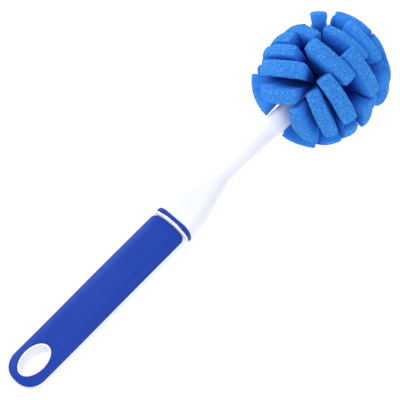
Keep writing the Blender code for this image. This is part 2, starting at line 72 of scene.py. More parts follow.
# Fins that don't stand as the others do. The key is the disc and the fin. The values are the lean
# away from the disc's own, as a share of the fan's pitch, the turn away from the fin's own place and
# the twist, both in degrees, and the reach, width and thickness as shares of a full fin's.
FIN_POSE_SHARES: dict[tuple[int, int], tuple[float, ...]] = {
    (0, 0): (0.21, -6, 75, 1.00, 0.87, 0.78),
    (0, 1): (0.15, 0, -24, 1.00, 0.80, 0.90),
    (0, 2): (0.47, -3, 0, 1.00, 0.84, 0.82),
    (0, 3): (0.25, 7, 45, 1.00, 0.60, 0.90),
    (0, 4): (0.10, -9, 0, 0.96, 0.42, 0.90),
    (1, 0): (-0.23, -2, -19, 0.98, 1.00, 1.00),
    (1, 1): (0.08, 0, 6, 0.98, 1.00, 0.90),
    (1, 2): (-0.10, 4, 0, 0.96, 0.85, 0.90),
    (1, 3): (0.00, -12, 0, 0.98, 0.85, 1.00),
    (1, 4): (-0.42, -17, 0, 0.93, 0.66, 0.54),
    (2, 0): (-0.03, -6, -15, 0.96, 0.83, 0.74),
    (2, 1): (-0.10, 3, 3, 1.00, 1.00, 1.00),
    (2, 2): (-0.10, -2, 0, 0.92, 0.95, 0.90),
    (2, 4): (-0.10, -3, 0, 0.89, 0.92, 0.78),
    (3, 0): (-0.10, 0, -2, 0.98, 1.00, 1.00),
    (3, 1): (-0.22, 2, 2, 0.92, 0.78, 0.75),
    (3, 4): (0.01, -1, -2, 0.87, 1.00, 0.85),
    (4, 0): (-0.10, 5, 3, 0.95, 1.00, 1.00),
    (4, 1): (-0.10, -12, 0, 0.86, 0.85, 0.90),
    (4, 3): (0.00, 0, 0, 0.85, 0.95, 0.95),
    (4, 4): (0.11, -6, 0, 0.85, 1.00, 0.85),
    (5, 0): (0.13, -2, -8, 0.90, 1.00, 0.74),
    (5, 1): (-0.10, 12, 5, 0.98, 1.00, 0.80),
    (5, 4): (0.15, -15, 20, 0.82, 0.60, 0.60),
    (6, 0): (0.19, 0, 7, 0.96, 0.92, 0.82),
    (6, 4): (0.50, -2, 30, 0.96, 0.72, 0.95),
    (7, 0): (0.10, -11, -8, 0.99, 0.72, 0.80),
    (7, 1): (0.12, -3, 6, 0.99, 0.60, 0.80),
    (7, 3): (0.00, -3, 0, 0.97, 0.42, 0.90),
    (7, 4): (0.00, -10, 0, 0.98, 0.42, 0.90),
}


class Slot(Enum):
    """The record's material slots."""

    WHITE = "white_plastic"
    RUBBER = "blue_rubber"
    FOAM = "blue_foam"


class Carving(Enum):
    """What a second shell does to a piece."""

    JOIN = "UNION"
    CUT = "DIFFERENCE"


class Arithmetic(Enum):
    """What a material does with two values."""

    ADD = "ADD"
    MULTIPLY = "MULTIPLY"


def blend(first: float, second: float, share: float) -> float:
    """Return a value between two others."""
    return first + (second - first) * share


def smooth_step(share: float | np.ndarray) -> float | np.ndarray:
    """Return an S-shaped ramp from 0 to 1."""
    share = np.clip(share, 0.0, 1.0)
    return share * share * (3 - 2 * share)


def arch(share: float) -> float:
    """Return the height of an arch that is 0 at both ends and 1 in the middle."""
    return 4 * share * (1 - share)


def shares(steps: int) -> list[float]:
    """Return even shares of a whole, from the first step to the whole itself."""
    return [step / steps for step in range(1, steps + 1)]


def quarter(steps: int) -> list[tuple[float, float]]:
    """Return the sine and cosine at even steps round a quarter turn, both ends included."""
    angles = [math.pi / 2 * step / steps for step in range(steps + 1)]
    return [(math.sin(angle), math.cos(angle)) for angle in angles]


def direction(lean: float, turn: float) -> Vector:
    """Return a direction from the ball's centre, from its lean to the tail and its turn, in degrees."""
    lean, turn = math.radians(lean), math.radians(turn)
    return Vector((-math.sin(lean), -math.cos(lean) * math.sin(turn), math.cos(lean) * math.cos(turn)))


def monotone_curve(points: tuple[Span, ...], place: float) -> float:
    """Read a smooth curve through points without letting it swing past them.

    Args:
        points: Pairs of place and value, in rising order of place.
        place: Where to read the curve.

    Returns:
        The curve's value there.
    """
    places = np.array([point[0] for point in points])
    values = np.array([point[1] for point in points])
    steps = np.diff(places)
    slopes = np.diff(values) / steps
    tangents = np.zeros(len(points))
    tangents[0], tangents[-1] = slopes[0], slopes[-1]
    for index in range(1, len(points) - 1):
        before, after = slopes[index - 1], slopes[index]
        if before * after > 0:
            tangents[index] = 2 * before * after / (before + after)
    index = int(np.clip(np.searchsorted(places, place) - 1, 0, len(steps) - 1))
    share = float(np.clip((place - places[index]) / steps[index], 0, 1))
    square, cube = share ** 2, share ** 3
    return float(
        (2 * cube - 3 * square + 1) * values[index]
        + (cube - 2 * square + share) * steps[index] * tangents[index]
        + (3 * square - 2 * cube) * values[index + 1]
        + (cube - square) * steps[index] * tangents[index + 1]
    )


def section_ring(reach: float, half_width: float, half_thickness: float, corner: float,
                 middle: float = 0.0) -> Ring:
    """Return points round a box with round corners that stands across the axis.

    Args:
        reach: Where the section lies.
        half_width: Half its width.
        half_thickness: Half its height.
        corner: The radius of its corners.
        middle: The height of its middle above the axis.

    Returns:
        The ring of points.
    """
    corner = min(corner, half_width, half_thickness)
    points = []
    for side, up, start in ((1, 1, 0), (-1, 1, 90), (-1, -1, 180), (1, -1, 270)):
        for step in range(CORNER_STEPS):
            angle = math.radians(start + 90 * (step + 0.5) / CORNER_STEPS)
            across = side * (half_width - corner) + corner * math.cos(angle)
            height = up * (half_thickness - corner) + corner * math.sin(angle)
            points.append(Vector((-reach, across, height + middle)))
    return points


def round_ring(reach: float, diameter: float) -> Ring:
    """Return points round a circle that stands across the axis."""
    return section_ring(reach, diameter / 2, diameter / 2, diameter / 2)


def add_object(name: str, data: bpy.types.ID) -> bpy.types.Object:
    """Put a new object in the scene.

    Args:
        name: The object's name.
        data: Its mesh, camera or light.

    Returns:
        The new object.
    """
    made = bpy.data.objects.new(name, data)
    bpy.context.scene.collection.objects.link(made)
    return made


def bake_modifiers(piece: bpy.types.Object) -> None:
    """Put what a piece's modifiers make into its own mesh.

    Args:
        piece: The piece, which has no modifiers afterwards.
    """
    graph = bpy.context.evaluated_depsgraph_get()
    graph.update()
    data = bpy.data.meshes.new_from_object(piece.evaluated_get(graph))
    piece.modifiers.clear()
    piece.data = data


def carve(target: bpy.types.Object, other: bpy.types.Object, carving: Carving) -> None:
    """Join another shell to a piece or cut it out of the piece, and remove the other shell.

    Args:
        target: The piece that is kept.
        other: The shell that is used up.
        carving: Whether the shell is joined or cut out.
    """
    step = target.modifiers.new(other.name, "BOOLEAN")
    step.operation = carving.value
    step.solver = "MANIFOLD"
    step.object = other
    bake_modifiers(target)
    bpy.data.objects.remove(other, do_unlink=True)


def read_vertices(data: bpy.types.Mesh) -> tuple[np.ndarray, np.ndarray]:
    """Read a mesh's vertices.

    Args:
        data: The mesh.

    Returns:
        The places and the normals, a row for each vertex.
    """
    count = len(data.vertices)
    places = np.zeros(count * 3, np.float32)
    normals = np.zeros(count * 3, np.float32)
    data.vertices.foreach_get("co", places)
    data.vertex_normals.foreach_get("vector", normals)
    return places.reshape(-1, 3), normals.reshape(-1, 3)


@dataclass(frozen=True)
class BrushAxis:
    """Where the axis frame of the brush lies in the world."""

    matrix: Matrix

    @classmethod
    def from_record(cls, record: dict, reach: float, half_thickness: float) -> "BrushAxis":
        """Work the axis out from the flat underside of the handle, which the record gives.

        Args:
            record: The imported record.
            reach: How far the mount's point lies from the ball's centre, along the axis.
            half_thickness: How far the underside lies below the axis.

        Returns:
            The axis frame's place and tilt.
        """
        mount = next(m for m in record["mounts"] if m["name"] == "handle_underside")
        down = Vector(mount["axis"]).normalized()
        across = Vector((0.0, 1.0, 0.0))
        along = across.cross(-down).normalized()
        centre = Vector(mount["pos_m"]) - down * half_thickness + along * reach
        turn = Matrix((along, across, -down)).transposed()
        return cls(Matrix.Translation(centre) @ turn.to_4x4())


class Shell:
    """A closed mesh that is built ring by ring in the axis frame."""

    def __init__(self) -> None:
        """Start with no faces."""
        self.mesh = bmesh.new()

    def rows(self, rings: list[Ring]) -> list[Row]:
        """Return new vertices at the points of rings."""
        return [[self.mesh.verts.new(point) for point in ring] for ring in rings]

    def loft(self, rings: list[Ring], ladder: bool = False) -> "Shell":
        """Skin rings of points and close both ends.

        Args:
            rings: Rings with the same count of points.
            ladder: Close the ends with rungs from side to side, not with one flat face.

        Returns:
            The shell itself.
        """
        rows = self.rows(rings)
        self.skin(rows)
        for row in (rows[0], rows[-1]):
            if ladder:
                self._ladder(row)
            else:
                self.mesh.faces.new(row)
        return self

    def tube(self, rings: list[Ring]) -> "Shell":
        """Skin rings of points, and join the last ring to the first.

        Args:
            rings: Rings with the same count of points.

        Returns:
            The shell itself.
        """
        rows = self.rows(rings)
        self.skin(rows + [rows[0]])
        return self

    def skin(self, rows: list[Row]) -> None:
        """Fill the bands between rings of vertices.

        Args:
            rows: Rings with the same count of vertices.
        """
        for lower, upper in zip(rows, rows[1:]):
            for place, corner in enumerate(lower):
                after = (place + 1) % len(lower)
                self.mesh.faces.new((corner, lower[after], upper[after], upper[place]))

    def _ladder(self, row: Row) -> None:
        """Fill a ring with rungs.

        Args:
            row: A ring whose halves mirror each other.
        """
        left = list(reversed(row))
        for place in range(len(row) // 2 - 1):
            self.mesh.faces.new((row[place], row[place + 1], left[place + 1], left[place]))
        if len(row) % 2:
            middle = len(row) // 2
            self.mesh.faces.new((row[middle - 1], row[middle], row[middle + 1]))

    def place(self, name: str, axis: BrushAxis) -> bpy.types.Object:
        """Turn the shell into a named object in the world.

        Args:
            name: The object's name.
            axis: The brush axis that the shell is drawn round.

        Returns:
            The new object.
        """
        bmesh.ops.recalc_face_normals(self.mesh, faces=self.mesh.faces)
        self.mesh.transform(axis.matrix)
        data = bpy.data.meshes.new(name)
        self.mesh.to_mesh(data)
        self.mesh.free()
        data.shade_smooth()
        data.set_sharp_from_angle(angle=math.radians(SHARP_ANGLE))
        return add_object(name, data)


class NodeSheet:
    """A material's node tree with short calls for adding and joining nodes."""

    def __init__(self, name: str) -> None:
        """Start a material with its Principled shader.

        Args:
            name: The material's name.
        """
        self.material = bpy.data.materials.new(name)
        self.material.use_nodes = True
        self.nodes = self.material.node_tree.nodes
        self.links = self.material.node_tree.links
        self.shader = self.nodes["Principled BSDF"]
        self.place = self.nodes.new("ShaderNodeTexCoord").outputs["Object"]

    def feed(self, node: bpy.types.Node, **values: object) -> None:
        """Fill a node's sockets.

        Args:
            node: The node.
            values: By the socket's name, with underscores for spaces, a number or colour for it to
                hold, or another node's socket to join to it.
        """
        for name, value in values.items():
            socket = node.inputs[name.replace("_", " ")]
            if isinstance(value, Socket):
                self.links.new(value, socket)
            elif socket.type == "RGBA":
                socket.default_value = (*value, 1.0)
            else:
                socket.default_value = value

    def set(self, **values: object) -> None:
        """Fill the shader's own sockets."""
        self.feed(self.shader, **values)

    def attribute(self, name: str) -> Socket:
        """Read a value that the mesh holds at its vertices.

        Args:
            name: The attribute's name.

        Returns:
            The value.
        """
        node = self.nodes.new("ShaderNodeAttribute")
        node.attribute_name = name
        return node.outputs["Fac"]

    def noise(self, scale: float, detail: float, roughness: float = 0.5) -> Socket:
        """Make a noise from 0 to 1.

        Args:
            scale: How many times its features repeat in a metre.
            detail: How many finer noises lie in it.
            roughness: How strong the finer ones are.

        Returns:
            The noise.
        """
        node = self.nodes.new("ShaderNodeTexNoise")
        self.feed(node, Vector=self.place, Scale=scale, Detail=detail, Roughness=roughness)
        return node.outputs["Fac"]

    def cells(self, scale: float) -> Socket:
        """Measure the distance to the nearest of scattered points.

        Args:
            scale: How many points lie along a metre.

        Returns:
            The distance, as a share of the points' pitch.
        """
        node = self.nodes.new("ShaderNodeTexVoronoi")
        self.feed(node, Vector=self.place, Scale=scale)
        return node.outputs["Distance"]

    def ramp(self, value: Socket, places: tuple[float, ...], colours: tuple[Triple, ...]) -> Socket:
        """Make a colour that follows a value.

        Args:
            value: The value.
            places: The values at which the ramp has its colours, in rising order.
            colours: The colours there.

        Returns:
            The colour.
        """
        node = self.nodes.new("ShaderNodeValToRGB")
        elements = node.color_ramp.elements
        while len(elements) < len(places):
            elements.new(0.5)
        for element, place, colour in zip(elements, places, colours):
            element.position = place
            element.color = (*colour, 1.0)
        self.feed(node, Fac=value)
        return node.outputs["Color"]

    def span(self, value: Socket, source: Span, target: Span) -> Socket:
        """Carry a value from one range to another.

        Args:
            value: The value.
            source: The range that it is carried from.
            target: The range that it is carried to.

        Returns:
            The new value.
        """
        node = self.nodes.new("ShaderNodeMapRange")
        self.feed(node, Value=value, From_Min=source[0], From_Max=source[1], To_Min=target[0],
                  To_Max=target[1])
        return node.outputs["Result"]

    def mix(self, share: Socket, first: Socket, second: Socket) -> Socket:
        """Mix two colours.

        Args:
            share: How much of the second colour there is.
            first: The colour at a share of 0.
            second: The colour at a share of 1.

        Returns:
            The mixed colour.
        """
        node = self.nodes.new("ShaderNodeMix")
        node.data_type = "RGBA"
        self.feed(node, Factor=share, A=first, B=second)
        return node.outputs["Result"]

    def reckon(self, how: Arithmetic, first: Socket, second: Socket) -> Socket:
        """Work two values out into one.

        Args:
            how: What is done with them.
            first: The first value.
            second: The second value.

        Returns:
            The result.
        """
        node = self.nodes.new("ShaderNodeMath")
        node.operation = how.value
        self.links.new(first, node.inputs[0])
        self.links.new(second, node.inputs[1])
        return node.outputs["Value"]

    def bump(self, height: Socket, depth: float, strength: float) -> None:
        """Raise the surface by a height map.

        Args:
            height: The height map.
            depth: The height, in metres, that a value of 1 stands for.
            strength: How much of the relief is seen.
        """
        node = self.nodes.new("ShaderNodeBump")
        self.feed(node, Height=height, Distance=depth, Strength=strength)
        self.set(Normal=node.outputs["Normal"])


@dataclass(frozen=True)
class MouldedFinish:
    """A smooth moulded surface whose colour and gloss drift a little, with a fine grain.

    The drift is the span of the noise over which they go from one end to the other.
    """

    name: str
    light: Triple
    shade: Triple
    ior: float
    specular: float
    roughness: Span
    patch_scale: float
    patch_detail: float
    gloss_scale: float
    gloss_detail: float
    grain_scale: float
    grain_depth: float
    grain_strength: float
    grain_detail: float = 2.0
    drift: Span = (0.3, 0.7)

    def make(self) -> bpy.types.Material:
        """Build the material.

        Returns:
            The material.
        """
        sheet = NodeSheet(self.name)
        patches = sheet.noise(self.patch_scale, self.patch_detail)
        gloss = sheet.noise(self.gloss_scale, self.gloss_detail)
        sheet.set(IOR=self.ior, Specular_IOR_Level=self.specular,
                  Base_Color=sheet.ramp(patches, self.drift, (self.shade, self.light)),
                  Roughness=sheet.span(gloss, self.drift, self.roughness))
        grain = sheet.noise(self.grain_scale, self.grain_detail)
        sheet.bump(grain, self.grain_depth, self.grain_strength)
        return sheet.material


@dataclass(frozen=True)
class WhitePlasticFinish(MouldedFinish):
    """Smooth white polypropylene with a soft gloss and a trace of blue."""

    name: str = "white_polypropylene"
    light: Triple = (0.850, 0.856, 0.920)
    shade: Triple = (0.838, 0.844, 0.908)
    ior: float = 1.49
    specular: float = 0.30
    roughness: Span = (0.30, 0.40)
    patch_scale: float = 60.0
    patch_detail: float = 3.0
    gloss_scale: float = 180.0
    gloss_detail: float = 4.0
    grain_scale: float = 900.0
    grain_depth: float = 0.00003
    grain_strength: float = 0.5


@dataclass(frozen=True)
class RubberFinish(MouldedFinish):
    """Deep royal blue soft-touch rubber with a satin sheen."""

    name: str = "soft_touch_rubber"
    light: Triple = (0.007, 0.050, 0.395)
    shade: Triple = (0.006, 0.044, 0.365)
    ior: float = 1.45
    specular: float = 0.22
    roughness: Span = (0.42, 0.54)
    patch_scale: float = 45.0
    patch_detail: float = 4.0
    gloss_scale: float = 180.0
    gloss_detail: float = 5.0
    grain_scale: float = 2600.0
    grain_depth: float = 0.00004
    grain_strength: float = 0.6


@dataclass(frozen=True)
class FoamFinish:
    """Bright blue open-cell foam: smooth strong blue sheet faces, and paler cut faces with fine pores.

    The deep gap colours are painted shade: a darker deep blue laid on the foam deep in the gaps near the
    hub, where shade falls. A drift is the span of the patchy noise over which one colour turns into the
    other. The places of the pores are distances from a pore's middle, for the colours of pit, body and
    strut.
    """

    name: str = "open_cell_foam"
    cut_attribute: str = "cut_face"
    # The vertex value by which the painted shade of the gaps fades out towards the ball's outside.
    shade_fade_attribute: str = "gap_shade_fade"
    pit: Triple = (0.002, 0.040, 0.340)
    body: Triple = (0.025, 0.207, 0.690)
    strut: Triple = (0.100, 0.385, 0.915)
    sheet_low: Triple = (0.036, 0.245, 0.770)
    sheet_high: Triple = (0.060, 0.305, 0.880)
    # Painted shade: the darker deep blue laid on the foam deep in the gaps near the hub.
    gap_shade_low: Triple = (0.0004, 0.006, 0.280)
    gap_shade_high: Triple = (0.0008, 0.010, 0.320)
    roughness: float = 0.95
    ior: float = 1.40
    specular: float = 0.08
    scatter: float = 0.45
    scatter_scale: float = 0.0022
    scatter_radius: Triple = (0.12, 0.45, 1.0)
    sheen: float = 0.50
    sheen_roughness: float = 0.45
    sheen_tint: Triple = (0.06, 0.38, 1.0)
    patch_scale: float = 260.0
    patch_detail: float = 4.0
    patch_roughness: float = 0.6
    pore_scale: float = 1500.0
    pore_places: Triple = (0.08, 0.40, 0.85)
    coarse_scale: float = 850.0
    coarse_places: Triple = (0.05, 0.30, 0.90)
    coarse_drift: Span = (0.40, 0.64)
    coarse_most: float = 0.9
    sheet_drift: Span = (0.35, 0.65)
    gap_shade_drift: Span = (0.3, 0.7)
    sheet_relief: float = 0.15
    pore_depth: float = 0.00045
    pore_strength: float = 0.8

    def make(self) -> bpy.types.Material:
        """Build the material.

        Returns:
            The material.
        """
        sheet = NodeSheet(self.name)
        cut = sheet.attribute(self.cut_attribute)
        fine = sheet.cells(self.pore_scale)
        coarse = sheet.cells(self.coarse_scale)
        patches = sheet.noise(self.patch_scale, self.patch_detail, self.patch_roughness)
        pore_colours = (self.pit, self.body, self.strut)
        cut_colour = sheet.mix(sheet.span(patches, self.coarse_drift, (0.0, self.coarse_most)),
                               sheet.ramp(fine, self.pore_places, pore_colours),
                               sheet.ramp(coarse, self.coarse_places, pore_colours))
        sheet_colour = sheet.ramp(patches, self.sheet_drift, (self.sheet_low, self.sheet_high))
        # Painted shade: deep in the ball the foam takes the darker gap colour, which fades out towards
        # the outside.
        gap_shade_colour = sheet.ramp(patches, self.gap_shade_drift, (self.gap_shade_low, self.gap_shade_high))
        open_colour = sheet.mix(cut, sheet_colour, cut_colour)
        sheet.set(Roughness=self.roughness, IOR=self.ior, Specular_IOR_Level=self.specular,
                  Subsurface_Weight=self.scatter, Subsurface_Scale=self.scatter_scale,
                  Subsurface_Radius=self.scatter_radius, Sheen_Weight=self.sheen,
                  Sheen_Roughness=self.sheen_roughness, Sheen_Tint=self.sheen_tint,
                  Base_Color=sheet.mix(sheet.attribute(self.shade_fade_attribute), gap_shade_colour, open_colour))
        pores = sheet.reckon(Arithmetic.ADD, fine, coarse)
        fade = sheet.span(cut, (0.0, 1.0), (self.sheet_relief, 1.0))
        sheet.bump(sheet.reckon(Arithmetic.MULTIPLY, pores, fade), self.pore_depth, self.pore_strength)
        return sheet.material


class SubAssembly(ABC):
    """A piece of the brush, with the node that it replaces and the slot of its finish."""

    node: str
    slot: Slot

    @abstractmethod
    def shape(self, axis: BrushAxis) -> bpy.types.Object:
        """Return the piece, not yet dressed."""

    def dress(self, piece: bpy.types.Object, finish: bpy.types.Material) -> None:
        """Put a finish on the piece, hang it on the body that it rides on, and hide the part that it
        stands in for.

        Args:
            piece: The piece.
            finish: The finish that covers it.
        """
        piece.data.materials.clear()
        piece.data.materials.append(finish)
        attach(piece, BODY)
        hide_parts(self.node)

    def build(self, axis: BrushAxis, finish: bpy.types.Material) -> bpy.types.Object:
        """Shape the piece and dress it.

        Args:
            axis: The brush axis.
            finish: The finish that covers it.

        Returns:
            The finished piece.
        """
        piece = self.shape(axis)
        self.dress(piece, finish)
        return piece


@dataclass(frozen=True)
class HandleForm:
    """The sizes that the body, the pad, the ring and the neck share.

    The upper side comes down to the tail over taper_length. The joint between neck, ring and body is
    curved by joint_bow, which fades out along the neck over joint_fade. Neck and body come nearer to
    the ring than their fit_gap by joint_close.
    """

    neck_end: float = 0.1223
    ring_width: float = 0.0023
    grip_length: float = 0.1246
    grip_width: float = 0.0243
    grip_thickness: float = 0.0145
    grip_corner: float = 0.0050
    tail_length: float = 0.0115
    tail_thickness: float = 0.0124
    tail_fullness: float = 0.85
    taper_length: float = 0.0600
    collar_length: float = 0.0013
    parting_height: float = 0.0028
    plateau_rise: float = 0.0008
    hole_length: float = 0.0198
    hole_width: float = 0.0122
    hole_from_tail: float = 0.0154
    rim_wall: float = 0.0011
    rim_proud: float = 0.0003
    spigot_width: float = 0.0130
    spigot_thickness: float = 0.0056
    spigot_corner: float = 0.0015
    spigot_cover: float = 0.0010
    spigot_length: float = 0.0180
    spine_width: float = 0.0160
    spine_height: float = 0.0026
    spine_margin: float = 0.0040
    fit_gap: float = 0.0003
    joint_bow: float = 0.0010
    joint_fade: float = 0.0080
    joint_close: float = 0.0002
    side_points: int = 28
    edge_steps: int = 10
    front_steps: int = 6
    tail_steps: int = 20
    hole_points: int = 96

    @property
    def ring_reach(self) -> float:
        """Where the ring band starts."""
        return self.neck_end + self.fit_gap

    @property
    def collar_reach(self) -> float:
        """Where the body starts."""
        return self.ring_reach + self.ring_width + self.fit_gap

    @property
    def spigot_end(self) -> float:
        """Where the neck's spigot ends inside the body."""
        return self.neck_end + self.spigot_length

    @property
    def half_width(self) -> float:
        """Half the grip's width."""
        return self.grip_width / 2

    @property
    def half_thickness(self) -> float:
        """Half the grip's thickness."""
        return self.grip_thickness / 2

    @property
    def tail_reach(self) -> float:
        """Where the handle ends."""
        return self.collar_reach + self.grip_length

    @property
    def hole_reach(self) -> float:
        """Where the middle of the hanging hole lies."""
        return self.tail_reach - self.hole_from_tail

    @property
    def rim_reach(self) -> float:
        """Where the white rim of the hole starts."""
        return self.hole_reach - self.hole_length / 2 - self.rim_wall

    @property
    def deck_reach(self) -> float:
        """Where the full section of the collar ends."""
        return self.collar_reach + self.collar_length

    @property
    def pad_top(self) -> float:
        """The height of the pad's upper side round its plateau."""
        return self.half_thickness - self.plateau_rise

    @property
    def rim_top(self) -> float:
        """The height of the hole's white rim."""
        return self.height(self.pad_top, self.rim_reach) + self.rim_proud

    def height(self, full: float, reach: float) -> float:
        """Bring a height down where the upper side tapers to the tail.

        Args:
            full: The height in the full grip.
            reach: Where the height is wanted.

        Returns:
            The height there.
        """
        if full <= 0:
            return full
        tail_share = (self.tail_thickness - self.half_thickness) / self.half_thickness
        gone = smooth_step((reach - self.rim_reach + self.taper_length) / self.taper_length)
        return full * blend(1.0, tail_share, gone)

    def bowed(self, across: float, share: float = 1.0) -> float:
        """Return how far the curved joint lies behind its mean place, at a distance across."""
        return self.joint_bow * share * ((across / self.half_width) ** 2 - 0.5)

    def outline(self, height: float, inset: float, front: float, bow: float,
                front_corner: float = 0.0, lift: float = 0.0, rise: float = 0.0) -> Ring:
        """Return points round the grip seen from above.

        Args:
            height: The ring's height in the full grip, which tapers to the tail.
            inset: How far the ring is drawn in.
            front: The reach of its front edge.
            bow: How far the front edge's middle stands out past its corners.
            front_corner: The radius of its front corners.
            lift: A height that is the same all along.
            rise: A height that fades out before the hole.

        Returns:
            The ring of points, whose halves mirror each other.
        """
        half = self.half_width - inset
        round_reach = self.tail_reach - self.tail_length
        tail = self.tail_length - inset
        straight = front + front_corner + bow
        side = []
        for share in shares(self.front_steps)[:-1]:
            side.append((front + bow * share ** 2, (half - front_corner) * share))
        if front_corner:
            for sine, cosine in quarter(self.edge_steps)[:-1]:
                side.append((straight - front_corner * cosine, half - front_corner * (1 - sine)))
        for step in range(self.side_points):
            side.append((blend(straight, round_reach, step / (self.side_points - 1)), half))
        for sine, cosine in quarter(self.tail_steps)[1:-1]:
            side.append((round_reach + tail * sine, half * cosine ** self.tail_fullness))
        mirrored = [(reach, -across) for reach, across in reversed(side)]
        fade_start = self.rim_reach - self.taper_length
        ring = []
        for reach, across in side + [(round_reach + tail, 0.0)] + mirrored:
            fade = 1 - smooth_step((reach - fade_start) / (self.taper_length / 2))
            ring.append(Vector((-reach, across, self.height(height, reach) + lift + rise * fade)))
        return ring

    def hole_ring(self, margin: float, height: float) -> Ring:
        """Return points round the oval hanging hole, on a level.

        Args:
            margin: How far outside the hole's edge the points lie.
            height: The level's height above the axis.

        Returns:
            The ring of points.
        """
        points = []
        for step in range(self.hole_points):
            angle = math.tau * step / self.hole_points
            points.append(Vector(((self.hole_length / 2 + margin) * math.cos(angle) - self.hole_reach,
                                  (self.hole_width / 2 + margin) * math.sin(angle), height)))
        return points

    def spigot(self, reach: float, clearance: float) -> Ring:
        """Return points round the neck's spigot, or round what holds it.

        Args:
            reach: Where the section lies.
            clearance: How far outside the spigot the points lie.

        Returns:
            The ring of points.
        """
        half_thickness = self.spigot_thickness / 2
        middle = self.parting_height - self.spigot_cover - self.fit_gap - half_thickness
        return section_ring(reach, self.spigot_width / 2 + clearance, half_thickness + clearance,
                            self.spigot_corner + clearance, middle)

    def keel(self, clearance: float) -> Shell:
        """Make the bar that keys the pad to the body, or the pocket that it fills.

        Args:
            clearance: How far outside the bar the shell lies.

        Returns:
            The shell, which stands on the axis plane.
        """
        half = self.spine_width / 2 + clearance
        chamfer = self.spine_height / 2
        start = self.deck_reach + self.fit_gap + self.spine_margin - clearance
        end = self.rim_reach - self.spine_margin + clearance
        rings = []
        for step in range(self.side_points):
            reach = blend(start, end, step / (self.side_points - 1))
            high = self.height(self.parting_height + self.spine_height, reach) + clearance
            outline = ((-half, 0.0), (half, 0.0), (half, high - chamfer), (half - chamfer, high),
                       (chamfer - half, high), (-half, high - chamfer))
            rings.append([Vector((-reach, across, height)) for across, height in outline])
        return Shell().loft(rings)


@dataclass
class HandleBody(SubAssembly):
    """The white body of the handle with its collar, deck, spine, rim and hanging hole.

    Its small edges have the radius edge. The deck's cutter passes the deck's edges by skim, so that no
    two faces lie in one another, and each cutter passes the faces that it cuts through by overrun.
    """

    form: HandleForm
    edge: float = 0.00015
    skim: float = 0.00003
    overrun: float = 0.002
    deck_edge_steps: int = 4
    rim_edge_steps: int = 5
    node = "handle_core"
    slot = Slot.WHITE

    def shape(self, axis: BrushAxis) -> bpy.types.Object:
        """Shape the body: a block that is cut, and takes on the spine and the rim.

        Args:
            axis: The brush axis.

        Returns:
            The piece, not yet dressed.
        """
        form = self.form
        body = Shell().loft(self._block(), ladder=True).place("handle_body", axis)
        socket = [form.spigot(reach, form.fit_gap)
                  for reach in (form.collar_reach - self.overrun, form.spigot_end + form.fit_gap)]
        carvings = (
            ("deck_cutter", Shell().loft(self._deck(), ladder=True), Carving.CUT),
            ("spine_shell", form.keel(0.0), Carving.JOIN),
            ("rim_shell", Shell().loft(self._rim()), Carving.JOIN),
            ("hole_cutter", Shell().loft(self._hole()), Carving.CUT),
            ("socket_cutter", Shell().loft(socket), Carving.CUT),
        )
        for name, shell, carving in carvings:
            carve(body, shell.place(name, axis), carving)
        return body

    def _block(self) -> list[Ring]:
        """Draw the grip's whole outer form.

        Returns:
            Its rings, one above the other.
        """
        form = self.form
        front = form.collar_reach - form.joint_close + form.bowed(0.0)
        rings = []
        for upward in (-1, 1):
            for sine, cosine in quarter(form.edge_steps)[::-upward]:
                height = upward * (form.half_thickness - form.grip_corner * (1 - cosine))
                rings.append(form.outline(height, form.grip_corner * (1 - sine), front, form.joint_bow))
        return rings

    def _deck(self) -> list[Ring]:
        """Draw what is cut away above the deck, with a rounded edge along its sides.

        Returns:
            Its rings, one above the other.
        """
        form = self.form
        front = form.deck_reach + form.bowed(0.0)
        rings = []
        for sine, cosine in quarter(self.deck_edge_steps):
            inset = self.edge * (1 - sine)
            rings.append(form.outline(form.parting_height, inset - self.skim, front + self.skim + inset,
                                      form.joint_bow, lift=-self.edge * (1 - cosine)))
        bow = form.joint_bow * (1 + self.overrun / form.half_width) ** 2
        levels = ((form.parting_height, -self.edge - self.skim),
                  (form.half_thickness, form.half_thickness))
        for height, lift in levels:
            rings.append(form.outline(height, -self.overrun, front, bow, lift=lift))
        return rings

    def _rim(self) -> list[Ring]:
        """Draw the column round the hole, rounded at its top.

        Returns:
            Its rings, from the axis plane upwards.
        """
        form = self.form
        rings = [form.hole_ring(form.rim_wall, 0.0)]
        for sine, cosine in quarter(self.rim_edge_steps):
            rings.append(form.hole_ring(form.rim_wall - self.edge * (1 - cosine),
                                        form.rim_top - self.edge * (1 - sine)))
        return rings

    def _hole(self) -> list[Ring]:
        """Draw the hole, which flares where it meets the outer faces.

        Returns:
            Its rings, from the underside upwards.
        """
        form = self.form
        rings = []
        for face, outward in ((-form.half_thickness, -1), (form.rim_top, 1)):
            flare = [form.hole_ring(self.edge * (1 - cosine), face - outward * self.edge * (1 - sine))
                     for sine, cosine in quarter(self.rim_edge_steps)]
            flare.append(form.hole_ring(self.edge, face + outward * self.overrun))
            rings += flare[::outward]
        return rings


